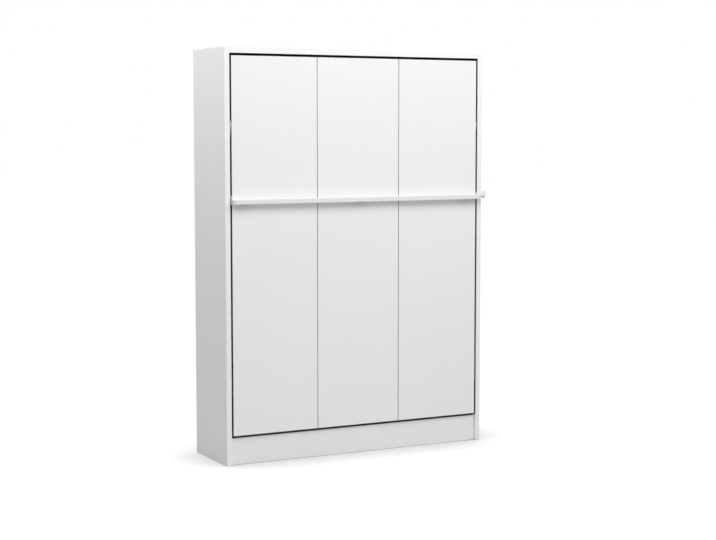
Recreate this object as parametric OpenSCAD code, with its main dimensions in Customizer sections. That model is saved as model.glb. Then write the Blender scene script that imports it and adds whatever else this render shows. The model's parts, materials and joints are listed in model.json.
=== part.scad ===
// Vertical fold-down wall bed: a shallow cabinet, a bed that folds down out of it,
// a swing-out leg whose bar lies across the front, and a gas strut on each side.
// Millimetres. X runs to the right seen from the front, Y runs to the wall, Z runs up.
// The origin is on the floor, in the middle of the footprint.
// The shape is drawn with the bed folded up, and y = 0 is then the plane of the front.

/* [Cabinet] */
// Overall width across the two side panels
cab_w = 1570; // [1360:10:1770]
// Overall height, floor to top
cab_h = 2210; // [2160:5:2330]
// Depth of the side panels, front edge to wall
cab_d = 435; // [425:5:520]
// Thickness of the side panels
side_t = 28; // [22:1:32]
// Thickness of the top panel
top_t = 32; // [22:1:38]
// Thickness of the plinth, the base panel and the back boards
board_t = 18; // [15:1:22]
// Height of the plinth's top edge above the floor
plinth_h = 146; // [138:1:150]
// How far the plinth stands back from the front
plinth_setback = 18; // [6:1:20]
// Height of the base panel's underside above the floor
base_z = 60; // [40:2:90]
// Height of the upper back rail, which takes the wall screws
top_rail_h = 200; // [180:5:300]
// Height of the headboard panel's lower edge above the floor
headboard_z = 420; // [320:10:520]
// Height of the headboard panel
headboard_h = 600; // [400:10:800]
// Height of the lower back rail
bottom_rail_h = 150; // [120:5:200]
// Diameter of the floor glides under the side panels
glide_d = 24; // [14:1:26]
// Thickness of the floor glides
glide_t = 2; // [1:0.5:6]
// Diameter of the four wall screw holes
wall_hole_d = 9; // [6:0.5:12]
// Distance between the wall screw holes, side to side
wall_hole_dx = 1200; // [800:10:1240]
// Distance between the wall screw holes, top to bottom
wall_hole_dz = 120; // [60:5:140]

/* [Front] */
// Thickness of the three front panels
front_t = 18; // [16:1:22]
// Open gap between the front and each side panel
side_gap = 10; // [9:0.5:14]
// Open gap between the front and the top panel
top_gap = 13; // [12:1:20]
// Height of the front's lower edge above the plinth
bottom_gap = 14; // [12:1:18]
// Width of the seams between the front panels
seam = 3; // [2:0.5:6]

/* [Bed frame] */
// How far the front reaches past the side rails on each side
rail_inset = 27; // [25:1:34]
// Thickness of the side rails
rail_t = 18; // [16:1:24]
// Depth of the side rails behind the front panels
rail_d = 122; // [110:2:140]
// Thickness of the head and foot rails
end_rail_t = 16; // [12:1:16]
// How far the frame reaches below the front's lower edge
frame_drop = 25; // [20:1:28]
// Thickness of the cross battens behind the front panels
batten_t = 18; // [15:1:22]
// Width of the cross battens
batten_w = 70; // [50:2:100]
// Width of the slat ledgers
ledger_w = 22; // [18:1:30]
// Depth of the slat ledgers and of the centre beam
ledger_d = 20; // [16:1:24]
// Width of the centre beam
beam_w = 64; // [60:2:80]
// Width of a slat
slat_w = 53; // [45:1:68]
// Thickness of a slat
slat_t = 8; // [6:1:12]
// Number of slat rows
slat_rows = 14; // [10:1:16]
// Wall of the plastic slat caps
cap_wall = 2.5; // [2:0.5:4]
// Thickness of the mattress
mattress_t = 160; // [120:5:180]
// Corner radius of the mattress
mattress_r = 45; // [20:5:80]
// Width of the mattress straps
strap_w = 50; // [30:2:60]
// Thickness of the mattress straps
strap_t = 1.6; // [1:0.2:2]

/* [Fold pivot] */
// Distance of the fold pivot behind the front
pivot_back = 42; // [40:1:46]
// Diameter of the pivot pins
pin_d = 20; // [16:1:22]
// Wall of the pivot bushes
bush_wall = 4; // [3:0.5:4]
// Thickness of the steel plates at the pivots and struts
plate_t = 3; // [2:0.5:3.5]

/* [Swing-out leg] */
// Height of the leg's pivot above the floor
leg_pivot_z = 1806; // [1770:2:1840]
// Distance of the leg's pivot behind the front
leg_pivot_back = 30; // [30:1:34]
// Height of the bar's underside above the floor
bar_z = 1390; // [1380:2:1410]
// Height of the bar
bar_h = 25; // [22:1:34]
// Depth of the bar, front to back
bar_d = 40; // [34:1:60]
// Wall of the bar
bar_wall = 2; // [1.5:0.5:3]
// Gap between the bar and the front
bar_gap = 2; // [1.5:0.5:4]
// Thickness of the leg arms
arm_t = 4; // [3:0.5:5]
// Width of the leg arms
arm_w = 28; // [24:1:34]
// Distance of the arms' straight run behind the front
arm_back = 22; // [20:1:26]
// Radius of the arms' round upper ends
arm_boss_r = 27.5; // [24:0.5:28]
// Gap between the front panels' edges and the leg arms
arm_play = 1.5; // [1:0.5:2.5]
// Height of the gusset where the arms leave the side gaps
gusset_h = 26; // [16:1:36]
// Diameter of the leg studs' journals
journal_d = 14; // [12:1:16]
// Length of the bar inserts' necks
neck_l = 8; // [6:1:20]
// Thickness of the rubber foot pads
pad_t = 3; // [2:0.5:5]

/* [Gas struts] */
// Distance of both strut ends from the fold pivot
strut_r = 262; // [240:2:270]
// Angle of the cabinet end above the horizontal, seen from the pivot
strut_up = 75; // [70:1:78]
// Angle between the two ends, seen from the pivot
strut_spread = 160; // [159:1:164]
// Outer diameter of the strut tubes
tube_d = 22; // [18:1:24]
// Wall of the strut tubes
tube_wall = 1.7; // [1:0.1:3]
// Diameter of the strut rods
rod_d = 8; // [6:1:12]
// Diameter of the shoulder bolts in the strut eyes
eye_bolt_d = 10; // [8:1:12]
// Width of the strut eyes
eye_w = 10; // [8:1:14]

/* [Turn button] */
// Distance of the turn button's pivot from the cabinet's outer face
button_inset = 18; // [16:1:20]
// Radius of the turn button's round end
button_r = 10; // [8:0.5:10]
// Width of the turn button's thumb piece
button_w = 28; // [22:1:28]
// Length of the turn button's head
button_l = 44; // [38:1:50]
// Thickness of the turn button's head
button_t = 9.5; // [6:0.5:14]
// Height of the turn button's pivot above the bar's underside
button_rise = 14; // [12:1:20]
// Diameter of the turn button's stem
stem_d = 13; // [12:1:18]

/* [Hidden] */
$fn = 48;

// Colours
white = "#f3f2ee";
inner_white = "#e9e8e4";
birch = "#d9c49a";
steel = "#a9adb0";
dark = "#3a3b3d";
ticking = "#eceae4";
strap_grey = "#77797c";
plastic_grey = "#8d9092";

// Clearances
run_clear = 0.05;
fit_clear = 0.05;
seat_clear = 0.3;
soft_clear = 2;
floor_clear = 0.5;
eps = 0.01;

// Places across the width, on the right-hand side
side_in = cab_w / 2 - side_t;
front_half = side_in - side_gap;
rail_out = front_half - rail_inset;
rail_in = rail_out - rail_t;
panel_w = (2 * front_half - 2 * seam) / 3;
arm_in = front_half + arm_play;
arm_out = arm_in + arm_t;
arm_outer_gap = side_gap - arm_t - arm_play;
bar_half = arm_in - neck_l;
strut_x = (rail_out + side_in) / 2;

// Heights with the bed folded up
front_bottom = plinth_h + bottom_gap;
front_top = cab_h - top_t - top_gap;
frame_bottom = front_bottom - frame_drop;
bay_bottom = frame_bottom + end_rail_t;
bay_top = front_top - end_rail_t;
notch_top = front_bottom - 8;
base_top = base_z + board_t;

// Depths behind the front
back_face = cab_d - board_t;
plinth_back = plinth_setback + board_t;
notch_back = plinth_back + 6;
rail_back = front_t + rail_d;
batten_back = front_t + batten_t;
ledger_back = batten_back + ledger_d;
slat_front = ledger_back + cap_wall + fit_clear;
cap_back = slat_front + slat_t + fit_clear + cap_wall;
mattress_front = cap_back + seat_clear;
mattress_back = mattress_front + mattress_t;

// Leg, fold pivot and struts: the leg keeps upright while the bed folds, so the height
// of the fold pivot follows from the leg's reach
leg_reach = leg_pivot_z - bar_z + pad_t;
pivot_z = leg_reach + floor_clear + pivot_back - leg_pivot_back;
bar_front = -(bar_gap + bar_d);
arm_rear = arm_back + arm_w;
bush_d = pin_d + 2 * run_clear + 2 * bush_wall;
strut_tilt = strut_up - strut_spread / 2;
strut_long = 2 * strut_r * sin(strut_spread / 2);
strut_short = 2 * strut_r * sin(strut_spread / 2 - 45);
anchor_a = [pivot_back + strut_r * cos(strut_up), pivot_z + strut_r * sin(strut_up)];
anchor_b = [pivot_back + strut_r * cos(strut_up - strut_spread),
            pivot_z + strut_r * sin(strut_up - strut_spread)];
eye_d = eye_bolt_d + 8;
rod_stub = 32;
gland_l = 15;
piston_l = 10;
rod_play = 0.8;
tube_mouth = strut_short - rod_stub;
piston_end = tube_mouth - gland_l - piston_l - 2;
rod_l = strut_long - piston_end;
bore_bottom = strut_short - rod_l - 2;

// Turn button on the right side panel's front edge
button_x = cab_w / 2 - button_inset;
button_z = bar_z + button_rise;
button_rear = bar_front - 2.5;
button_front = button_rear - button_t;
button_screw_d = 5;
button_screw_in = 30;
button_head_d = 9.5;
button_sink = 4;

// The origin's place behind the front
front_reach = -button_front;
front_y = -(cab_d - front_reach) / 2;

// Screws
screw_d = 5;
screw_head_d = 10;
screw_head_t = 2.5;
screw_l = 16;
screw_hole_d = screw_d + 2 * fit_clear;
leg_screw_d = 8;
leg_screw_head_d = 14;
leg_screw_head_t = 3;

// Steel plates at the pivots and strut ends: depth and height
pivot_plate_size = [100, 170];
hinge_plate_size = [86, 150];
strut_plate_size = [34, 60];
bed_strut_plate_size = [30, 36];
plate_corner_r = 6;
plate_screw_inset = 13;

// Collars and bosses round the pins and bolts
pin_collar_d = pin_d + 14;
bush_collar_d = bush_d + 10;
bush_collar_t = 2;
eye_boss_d = eye_bolt_d + 5;
eye_head_t = 2;
eye_bolt_in_side = 12;
eye_near = strut_x - eye_w / 2 - seat_clear;
eye_far = strut_x + eye_w / 2 + seat_clear;

// Floor glides
glide_inset = 40;

// Corner brackets
bracket_from_back = 50;
bracket_pitch = 130;
bracket_ys = [back_face - bracket_from_back - bracket_pitch, back_face - bracket_from_back];
bracket_l = 40;
bracket_t = 3;
bracket_w = 40;

// Stops for the folded-up front
stop_h = 60;
stop_d = 25;
stop_from_top = 75;
stop_z = front_top - stop_from_top;
bumper_d = 12;
bumper_t = 3;

// Battens, slats, caps and straps
batten_count = 4;
batten_end = 90;
slat_pitch = (bay_top - bay_bottom) / slat_rows;
cap_l = 38;
cap_end_wall = 3;
cap_side = [rail_in - 1 - cap_l, rail_in - 1];
cap_centre = [1, beam_w / 2 - 2];
strap_leg = 60;
strap_from_bottom = 560;
strap_from_top = 480;
strap_zs = [bay_bottom + strap_from_bottom, bay_top - strap_from_top];

// Leg studs, bushes, screws and pads
stud_flange_t = 3;
stud_flange_d = 2 * (leg_pivot_back - front_t) - 2 * seat_clear;
stud_body_d = stud_flange_d - 3;
stud_end = arm_out + seat_clear;
stud_cap_t = min(2, arm_outer_gap - 1.2);
stud_cap_d = journal_d + 8;
leg_bush_d = journal_d + 2 * run_clear + 4;
leg_screw_ys = [bar_front + bar_d * 0.3, bar_front + bar_d * 0.7];
bar_mid_y = bar_front + bar_d / 2;
bar_mid_z = bar_z + bar_h / 2;
insert_l = 20;
pad_l = 60;
pad_xs = [0, bar_half - pad_l];
bar_bumper_inset = 90;
bar_bumper_x = bar_half - bar_bumper_inset;

// Piece-making helpers
module at_front() {
    translate([0, front_y, 0]) children();
}

module on_side(s) {
    if (s < 0) mirror([1, 0, 0]) children();
    else children();
}

module both_sides() {
    children();
    mirror([1, 0, 0]) children();
}

module block(x, y, z) {
    translate([x[0], y[0], z[0]]) cube([x[1] - x[0], y[1] - y[0], z[1] - z[0]]);
}

// A round bar along X at depth y and height z
module bar_x(x, d, y, z) {
    translate([x[0], y, z]) rotate([0, 90, 0]) cylinder(d = d, h = x[1] - x[0]);
}

// A flat plate across X whose outline is drawn as [depth, height]
module plate_x(x) {
    translate([x[0], 0, 0]) rotate([90, 0, 90]) linear_extrude(x[1] - x[0]) children();
}

// A hole or bar along Y
module bar_y(x, y, d, z) {
    translate([x, y[0], z]) rotate([-90, 0, 0]) cylinder(d = d, h = y[1] - y[0]);
}

// A rectangle with round corners, centred
module round_rect(w, h, r) {
    square([w - 2 * r, h], center = true);
    square([w, h - 2 * r], center = true);
    for (i = [-1, 1], j = [-1, 1])
        translate([i * (w / 2 - r), j * (h / 2 - r)]) circle(r = r);
}

// A wood screw pointing outwards along X, with its head on the face at x
module screw_x(x, y, z) {
    bar_x([x - screw_head_t, x], screw_head_d, y, z);
    bar_x([x - eps, x + screw_l], screw_d, y, z);
}

// Screw places [depth, height] in the corners of a plate round the centre c
function plate_spots(c, size) = [for (i = [-1, 1], j = [-1, 1])
    [c[0] + i * (size[0] / 2 - plate_screw_inset), c[1] + j * (size[1] / 2 - plate_screw_inset)]];
plate_c = [pivot_back + 20, pivot_z];
pivot_spots = plate_spots(plate_c, pivot_plate_size);
hinge_spots = plate_spots(plate_c, hinge_plate_size);
strut_spots = [for (j = [-1, 1]) [anchor_a[0], anchor_a[1] + j * (strut_plate_size[1] / 2 - 9)]];
function slat_z(i) = bay_bottom + slat_pitch * (i + 0.5);
function batten_z(i) = front_bottom + batten_end
    + i * (front_top - front_bottom - 2 * batten_end) / (batten_count - 1);

// Cabinet boards
module side_panel(s) {
    color(white) at_front() on_side(s) difference() {
        block([side_in, cab_w / 2], [0, cab_d], [glide_t, cab_h]);
        for (p = concat(pivot_spots, strut_spots))
            bar_x([side_in - 1, side_in + screw_l], screw_hole_d, p[0], p[1]);
        bar_x([side_in - 1, side_in + eye_bolt_in_side + 2], eye_bolt_d + 2 * fit_clear,
              anchor_a[0], anchor_a[1]);
        for (y = bracket_ys, z = [base_top + bracket_w / 2, cab_h - top_t - bracket_w / 2])
            bar_x([side_in - 1, side_in + screw_l], screw_hole_d, y, z);
        if (s > 0)
            bar_y(button_x, [-1, button_screw_in + 2], button_screw_d + 2 * fit_clear, button_z);
    }
}

module top_panel() {
    color(white) at_front() difference() {
        block([-side_in, side_in], [0, cab_d], [cab_h - top_t, cab_h]);
        both_sides() for (y = bracket_ys)
            translate([side_in - bracket_w / 2, y, cab_h - top_t - 1])
                cylinder(d = screw_hole_d, h = screw_l + 1);
    }
}

module plinth() {
    color(white) at_front()
        block([-side_in, side_in], [plinth_setback, plinth_back], [glide_t, plinth_h]);
}

module base_panel() {
    color(inner_white) at_front() difference() {
        block([-side_in, side_in], [plinth_back, back_face], [base_z, base_top]);
        both_sides() for (y = bracket_ys)
            translate([side_in - bracket_w / 2, y, base_top - screw_l])
                cylinder(d = screw_hole_d, h = screw_l + 1);
    }
}

wall_hole_z = cab_h - top_t - top_rail_h / 2;

module back_board(z) {
    block([-side_in, side_in], [back_face, cab_d], z);
}

module back_rail_top() {
    color(inner_white) at_front() difference() {
        back_board([cab_h - top_t - top_rail_h, cab_h - top_t]);
        for (i = [-1, 1], j = [-1, 1])
            bar_y(i * wall_hole_dx / 2, [back_face - 1, cab_d + 1], wall_hole_d,
                  wall_hole_z + j * wall_hole_dz / 2);
    }
}

module headboard_panel() {
    color(inner_white) at_front() back_board([headboard_z, headboard_z + headboard_h]);
}

module back_rail_bottom() {
    color(inner_white) at_front() back_board([base_z, base_z + bottom_rail_h]);
}

// Steel angles that tie the top and base panels to the sides
module corner_bracket(y, z, up) {
    translate([side_in, y, z]) mirror([0, 0, up ? 0 : 1]) difference() {
        union() {
            block([-bracket_w, 0], [-bracket_l / 2, bracket_l / 2], [0, bracket_t]);
            block([-bracket_t, 0], [-bracket_l / 2, bracket_l / 2], [0, bracket_w]);
        }
        bar_x([-bracket_t - 1, 1], screw_hole_d, 0, bracket_w / 2);
        translate([-bracket_w / 2, 0, -1]) cylinder(d = screw_hole_d, h = bracket_t + 2);
    }
}

module corner_brackets() {
    color(steel) at_front() both_sides() for (y = bracket_ys) {
        corner_bracket(y, base_top, true);
        corner_bracket(y, cab_h - top_t, false);
    }
}

module bracket_screw_pair(y, z, up) {
    translate([side_in, y, z]) mirror([0, 0, up ? 0 : 1]) {
        screw_x(-bracket_t, 0, bracket_w / 2);
        translate([-bracket_w / 2, 0, bracket_t]) rotate([180, 0, 0]) {
            translate([0, 0, -screw_head_t]) cylinder(d = screw_head_d, h = screw_head_t);
            translate([0, 0, -eps]) cylinder(d = screw_d, h = screw_l - 1);
        }
    }
}

module bracket_screws() {
    color(steel) at_front() both_sides() for (y = bracket_ys) {
        bracket_screw_pair(y, base_top, true);
        bracket_screw_pair(y, cab_h - top_t, false);
    }
}

module floor_glides() {
    color(plastic_grey) at_front() both_sides() {
        for (y = [glide_inset, cab_d - glide_inset])
            translate([cab_w / 2 - side_t / 2, y, 0]) cylinder(d = min(glide_d, side_t - 2), h = glide_t);
        translate([side_in / 2, plinth_setback + board_t / 2, 0])
            cylinder(d = board_t - 2, h = glide_t);
    }
}

// Fold pivot, cabinet side
module pivot_plate(s) {
    color(steel) at_front() on_side(s) difference() {
        plate_x([side_in - plate_t, side_in])
            translate(plate_c) round_rect(pivot_plate_size[0], pivot_plate_size[1], plate_corner_r);
        for (p = pivot_spots)
            bar_x([side_in - plate_t - 1, side_in + 1], screw_hole_d, p[0], p[1]);
    }
}

module pivot_pin(s) {
    color(steel) at_front() on_side(s) {
        bar_x([rail_in + 2, side_in - plate_t], pin_d, pivot_back, pivot_z);
        bar_x([front_half + 1, side_in - plate_t], pin_collar_d, pivot_back, pivot_z);
    }
}

module pivot_screws() {
    color(steel) at_front() both_sides() {
        for (p = concat(pivot_spots, strut_spots)) screw_x(side_in - plate_t, p[0], p[1]);
    }
}

// Gas strut anchors, cabinet side
module strut_plates() {
    color(steel) at_front() both_sides() difference() {
        union() {
            plate_x([side_in - plate_t, side_in]) translate(anchor_a)
                round_rect(strut_plate_size[0], strut_plate_size[1], plate_corner_r);
            bar_x([eye_far, side_in - plate_t + eps], eye_boss_d, anchor_a[0], anchor_a[1]);
        }
        bar_x([strut_x, side_in + 1], eye_bolt_d + 2 * fit_clear, anchor_a[0], anchor_a[1]);
        for (p = strut_spots)
            bar_x([side_in - plate_t - 1, side_in + 1], screw_hole_d, p[0], p[1]);
    }
}

module strut_bolts() {
    color(steel) at_front() both_sides() {
        bar_x([eye_near, side_in + eye_bolt_in_side], eye_bolt_d, anchor_a[0], anchor_a[1]);
        bar_x([eye_near - eye_head_t, eye_near + eps], eye_boss_d, anchor_a[0], anchor_a[1]);
    }
}

// Stops that the folded-up front rests on
module stop_blocks() {
    y = front_t + bumper_t;
    color(inner_white) at_front() both_sides()
        block([rail_out + 10, side_in], [y, y + stop_d], [stop_z - stop_h / 2, stop_z + stop_h / 2]);
}

module stop_bumpers() {
    color(dark) at_front() both_sides()
        bar_y(front_half - 9, [front_t + seat_clear, front_t + bumper_t], bumper_d, stop_z);
}

// Front
module front_panel(i) {
    x = -front_half + i * (panel_w + seam);
    color(white) at_front()
        block([x, x + panel_w], [0, front_t], [front_bottom, front_top]);
}

module front_battens() {
    color(inner_white) at_front() for (i = [0 : batten_count - 1])
        block([-rail_in, rail_in], [front_t, batten_back],
              [batten_z(i) - batten_w / 2, batten_z(i) + batten_w / 2]);
}

// Bed frame
module bed_rail(s) {
    color(inner_white) at_front() on_side(s) difference() {
        block([rail_in, rail_out], [front_t, rail_back], [frame_bottom, front_top]);
        block([rail_in - 1, rail_out + 1], [front_t - 1, notch_back], [frame_bottom - 1, notch_top]);
        bar_x([rail_in - 1, rail_out + 1], bush_d + 2 * fit_clear, pivot_back, pivot_z);
        bar_x([rail_in - 1, rail_out + 1], leg_screw_d + 2 * fit_clear, leg_pivot_back, leg_pivot_z);
        bar_x([rail_in - 1, rail_out + 1], eye_bolt_d + 2 * fit_clear, anchor_b[0], anchor_b[1]);
        for (p = hinge_spots)
            bar_x([rail_out - screw_l + 2, rail_out + 1], screw_hole_d, p[0], p[1]);
    }
}

module head_rail() {
    color(inner_white) at_front()
        block([-rail_in, rail_in], [notch_back, rail_back], [frame_bottom, bay_bottom]);
}

module foot_rail() {
    color(inner_white) at_front()
        block([-rail_in, rail_in], [front_t, rail_back], [bay_top, front_top]);
}

module slat_ledger(s) {
    color(birch) at_front() on_side(s)
        block([rail_in - ledger_w, rail_in], [batten_back, ledger_back], [bay_bottom, bay_top]);
}

module centre_beam() {
    color(birch) at_front()
        block([-beam_w / 2, beam_w / 2], [batten_back, ledger_back], [bay_bottom, bay_top]);
}

slat_x = [cap_centre[0] + cap_end_wall + seat_clear, cap_side[1] - cap_end_wall - seat_clear];

module slats(s) {
    color(birch) at_front() on_side(s) for (i = [0 : slat_rows - 1])
        block(slat_x, [slat_front, slat_front + slat_t],
              [slat_z(i) - slat_w / 2, slat_z(i) + slat_w / 2]);
}

// A cap with its mouth towards lower x, or towards higher x when flipped
module slat_cap(x, z, mouth_low) {
    half = slat_w / 2 + fit_clear;
    slot_x = mouth_low ? [x[0] - 1, x[1] - cap_end_wall] : [x[0] + cap_end_wall, x[1] + 1];
    difference() {
        block(x, [ledger_back, cap_back], [z - half - cap_wall, z + half + cap_wall]);
        block(slot_x, [slat_front - fit_clear, slat_front + slat_t + fit_clear], [z - half, z + half]);
    }
}

module slat_caps_side() {
    color(dark) at_front() both_sides() for (i = [0 : slat_rows - 1])
        slat_cap(cap_side, slat_z(i), true);
}

module slat_caps_centre() {
    color(dark) at_front() both_sides() for (i = [0 : slat_rows - 1])
        slat_cap(cap_centre, slat_z(i), false);
}

module mattress() {
    w = 2 * (rail_in - strap_t - soft_clear);
    h = bay_top - bay_bottom - 2 * soft_clear;
    color(ticking) at_front()
        translate([0, mattress_back, (bay_top + bay_bottom) / 2]) rotate([90, 0, 0])
            linear_extrude(mattress_t) round_rect(w, h, mattress_r);
}

module mattress_straps() {
    y1 = mattress_back + seat_clear;
    color(strap_grey) at_front() for (z = strap_zs) {
        block([-rail_in, rail_in], [y1, y1 + strap_t], [z - strap_w / 2, z + strap_w / 2]);
        both_sides()
            block([rail_in - strap_t, rail_in], [rail_back - strap_leg, y1 + eps],
                  [z - strap_w / 2, z + strap_w / 2]);
    }
}

// Fold pivot, bed side
module hinge_plate(s) {
    color(steel) at_front() on_side(s) difference() {
        plate_x([rail_out, rail_out + plate_t])
            translate(plate_c) round_rect(hinge_plate_size[0], hinge_plate_size[1], plate_corner_r);
        bar_x([rail_out - 1, rail_out + plate_t + 1], bush_d + 2 * fit_clear, pivot_back, pivot_z);
        for (p = hinge_spots)
            bar_x([rail_out - 1, rail_out + plate_t + 1], screw_hole_d, p[0], p[1]);
    }
}

bush_end = rail_out + plate_t + bush_collar_t;

module hinge_bush(s) {
    color(plastic_grey) at_front() on_side(s) difference() {
        union() {
            bar_x([rail_in, bush_end], bush_d, pivot_back, pivot_z);
            bar_x([bush_end - bush_collar_t, bush_end], bush_collar_d, pivot_back, pivot_z);
        }
        bar_x([rail_in - 1, bush_end + 1], pin_d + 2 * run_clear, pivot_back, pivot_z);
    }
}

module hinge_screws() {
    color(steel) at_front() both_sides() for (p = hinge_spots)
        translate([rail_out + plate_t, 0, 0]) mirror([1, 0, 0]) screw_x(0, p[0], p[1]);
}

module bed_strut_plates() {
    color(steel) at_front() both_sides() difference() {
        union() {
            plate_x([rail_out, rail_out + plate_t]) translate(anchor_b)
                round_rect(bed_strut_plate_size[0], bed_strut_plate_size[1], plate_corner_r);
            bar_x([rail_out + plate_t - eps, eye_near], eye_boss_d, anchor_b[0], anchor_b[1]);
        }
        bar_x([rail_out - 1, strut_x], eye_bolt_d + 2 * fit_clear, anchor_b[0], anchor_b[1]);
    }
}

module bed_strut_bolts() {
    color(steel) at_front() both_sides() {
        bar_x([rail_in + 1, eye_far], eye_bolt_d, anchor_b[0], anchor_b[1]);
        bar_x([eye_far - eps, eye_far + eye_head_t], eye_boss_d, anchor_b[0], anchor_b[1]);
    }
}

// Leg pivots on the bed: a shouldered stud through each rail, closed by a flat cap
module leg_studs() {
    color(steel) at_front() both_sides() {
        bar_x([rail_in, rail_out], leg_screw_d, leg_pivot_back, leg_pivot_z);
        bar_x([rail_out, rail_out + stud_flange_t], stud_flange_d, leg_pivot_back, leg_pivot_z);
        bar_x([rail_out + stud_flange_t - eps, arm_in - seat_clear], stud_body_d,
              leg_pivot_back, leg_pivot_z);
        bar_x([arm_in - seat_clear - eps, stud_end], journal_d, leg_pivot_back, leg_pivot_z);
    }
}

module leg_stud_caps() {
    color(steel) at_front() both_sides()
        bar_x([stud_end, stud_end + stud_cap_t], stud_cap_d, leg_pivot_back, leg_pivot_z);
}

// Leg
module arm_outline() {
    translate([leg_pivot_back, leg_pivot_z]) circle(r = arm_boss_r);
    polygon([
        [leg_pivot_back - arm_boss_r, leg_pivot_z],
        [arm_back, leg_pivot_z - 3.1 * arm_boss_r],
        [arm_back, bar_z + bar_h + gusset_h],
        [arm_back - 1.6 * gusset_h, bar_z + bar_h],
        [bar_front + 3, bar_z + bar_h],
        [bar_front, bar_z + bar_h - 3],
        [bar_front, bar_z + 3],
        [bar_front + 3, bar_z],
        [arm_rear - 6, bar_z],
        [arm_rear, bar_z + 6],
        [arm_rear, leg_pivot_z - 1.5 * arm_boss_r],
        [leg_pivot_back + arm_boss_r, leg_pivot_z]]);
}

module leg_arm(s) {
    color(white) at_front() on_side(s) difference() {
        plate_x([arm_in, arm_out]) arm_outline();
        bar_x([arm_in - 1, arm_out + 1], leg_bush_d + 2 * fit_clear, leg_pivot_back, leg_pivot_z);
        for (y = leg_screw_ys) {
            bar_x([arm_in - 1, arm_out + 1], leg_screw_d + 2 * fit_clear, y, bar_mid_z);
            translate([arm_out + eps, y, bar_mid_z]) rotate([0, -90, 0])
                cylinder(d1 = leg_screw_head_d + 2 * fit_clear, d2 = leg_screw_d + 2 * fit_clear,
                         h = leg_screw_head_t);
        }
    }
}

module leg_crossbar() {
    color(white) at_front()
        translate([-bar_half, bar_mid_y, bar_mid_z]) rotate([90, 0, 90])
            linear_extrude(2 * bar_half) difference() {
                round_rect(bar_d, bar_h, 2.5);
                square([bar_d - 2 * bar_wall, bar_h - 2 * bar_wall], center = true);
            }
}

module crossbar_inserts() {
    color(white) at_front() both_sides() difference() {
        union() {
            plate_x([bar_half - insert_l, bar_half + eps]) translate([bar_mid_y, bar_mid_z])
                square([bar_d - 2 * bar_wall - 2 * fit_clear, bar_h - 2 * bar_wall - 2 * fit_clear],
                       center = true);
            plate_x([bar_half, arm_in]) translate([bar_mid_y, bar_mid_z])
                round_rect(bar_d - 8, bar_h - 8, 2);
        }
        for (y = leg_screw_ys)
            bar_x([bar_half - insert_l + 4, arm_in + 1], leg_screw_d + 2 * fit_clear, y, bar_mid_z);
    }
}

module leg_bushes() {
    color(dark) at_front() both_sides() difference() {
        bar_x([arm_in, arm_out], leg_bush_d, leg_pivot_back, leg_pivot_z);
        bar_x([arm_in - 1, arm_out + 1], journal_d + 2 * run_clear, leg_pivot_back, leg_pivot_z);
    }
}

module leg_screws() {
    color(steel) at_front() both_sides() for (y = leg_screw_ys) {
        bar_x([bar_half - insert_l + 6, arm_out - 1], leg_screw_d, y, bar_mid_z);
        translate([arm_out, y, bar_mid_z]) rotate([0, -90, 0])
            cylinder(d1 = leg_screw_head_d, d2 = leg_screw_d, h = leg_screw_head_t);
    }
}

module foot_pads() {
    color(plastic_grey) at_front() both_sides() for (x = pad_xs)
        block([max(0, x - pad_l / 2), x + pad_l / 2], [bar_front + 4, bar_front + bar_d - 4],
              [bar_z - pad_t, bar_z]);
}

module bar_bumpers() {
    color(plastic_grey) at_front() both_sides()
        bar_y(bar_bumper_x, [-bar_gap, -seat_clear], bumper_d, bar_mid_z);
}

// Gas struts, drawn along local Z from the cabinet end to the bed end
module along_strut(s) {
    at_front() on_side(s) translate([strut_x, anchor_a[0], anchor_a[1]])
        rotate([180 + strut_tilt, 0, 0]) children();
}

module strut_eye(z) {
    translate([-eye_w / 2, 0, z]) rotate([0, 90, 0]) cylinder(d = eye_d, h = eye_w);
}

module strut_eye_hole(z) {
    translate([-eye_w, 0, z]) rotate([0, 90, 0])
        cylinder(d = eye_bolt_d + 2 * run_clear, h = 2 * eye_w);
}

module strut_tube(s) {
    color(dark) along_strut(s) difference() {
        union() {
            strut_eye(0);
            cylinder(d = eye_w - 1, h = bore_bottom - 4);
            translate([0, 0, bore_bottom - 6]) cylinder(d = tube_d, h = tube_mouth - bore_bottom + 6);
        }
        strut_eye_hole(0);
        translate([0, 0, bore_bottom])
            cylinder(d = tube_d - 2 * tube_wall, h = tube_mouth - gland_l - bore_bottom);
        translate([0, 0, bore_bottom]) cylinder(d = rod_d + 2 * rod_play, h = tube_mouth);
    }
}

module strut_rod(s) {
    color(steel) along_strut(s) difference() {
        union() {
            translate([0, 0, strut_long - rod_l]) cylinder(d = rod_d, h = rod_l);
            translate([0, 0, strut_long - rod_l])
                cylinder(d = tube_d - 2 * tube_wall - 2 * rod_play, h = piston_l);
            translate([0, 0, strut_long - rod_stub + 6])
                cylinder(d = eye_w - 1, h = rod_stub - 6 - eye_d / 4);
            strut_eye(strut_long);
        }
        strut_eye_hole(strut_long);
    }
}

// Turn button: it hangs on its screw and turns inwards over the bar's end
module turn_button() {
    color(white) at_front() difference() {
        union() {
            translate([button_x, button_rear, button_z]) rotate([90, 0, 0])
                linear_extrude(button_t) {
                    circle(r = button_r);
                    translate([button_w / 2 - button_r, (button_l - button_r + 3) / 2])
                        round_rect(button_w, button_l - button_r - 3, 5);
                }
            bar_y(button_x, [button_rear - eps, -seat_clear], stem_d, button_z);
        }
        bar_y(button_x, [button_front - 1, 1], button_screw_d + 2 * run_clear, button_z);
        bar_y(button_x, [button_front - 1, button_front + button_sink], button_head_d + 1.5,
              button_z);
    }
}

module turn_button_screw() {
    color(steel) at_front() {
        bar_y(button_x, [button_front + 1, button_screw_in], button_screw_d, button_z);
        bar_y(button_x, [button_front + 0.8, button_front + button_sink - seat_clear],
              button_head_d, button_z);
    }
}

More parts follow.
